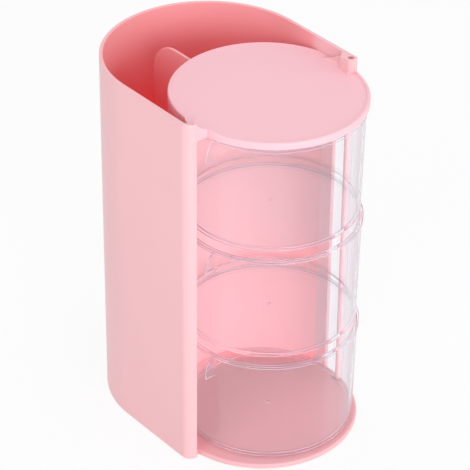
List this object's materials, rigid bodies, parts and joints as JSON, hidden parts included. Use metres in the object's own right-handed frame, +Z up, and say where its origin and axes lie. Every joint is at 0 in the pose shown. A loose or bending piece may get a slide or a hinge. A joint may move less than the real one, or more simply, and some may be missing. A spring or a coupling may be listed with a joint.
{
  "type": "rotating makeup organizer drawers",
  "caption": "Tall oval housing with an open brush compartment behind and stacked clear round drawers that swing out sideways on one upright rod.",
  "frame": {"origin": "on the table, under the middle of the housing's footprint box", "axes": "+X to the right seen from the drawers' side, +Y to the back, where the brush compartment is, +Z up"},
  "size_m": [0.138, 0.186, 0.255],
  "materials": {
    "housing": "satin pink moulded plastic",
    "cover": "satin light pink moulded plastic",
    "clear_plastic": "clear, polished",
    "rod": "smooth pink",
    "pad": "matt"
  },
  "bodies": {
    "housing": {"housing_shell": "housing", "curved_partition": "housing", "rear_divider": "housing", "top_cover": "cover", "base_plate": "housing", "pivot_rod": "rod", "rod_spacers": "clear_plastic", "base_washer": "clear_plastic", "anti_slip_pads": "pad"},
    "drawer_lower": {"drawer_lower": "clear_plastic"},
    "drawer_middle": {"drawer_middle": "clear_plastic"},
    "drawer_upper": {"drawer_upper": "clear_plastic"}
  },
  "joints": [
    {"name": "drawer_lower_swing", "type": "hinge", "parent": "housing", "child": "drawer_lower", "pos_m": [0.0653, -0.038, 0.0049], "axis": [0, 0, 1], "range_deg": [0, 170]},
    {"name": "drawer_middle_swing", "type": "hinge", "parent": "housing", "child": "drawer_middle", "pos_m": [0.0653, -0.038, 0.0856], "axis": [0, 0, 1], "range_deg": [0, 170]},
    {"name": "drawer_upper_swing", "type": "hinge", "parent": "housing", "child": "drawer_upper", "pos_m": [0.0653, -0.038, 0.1663], "axis": [0, 0, 1], "range_deg": [0, 170]}
  ]
}
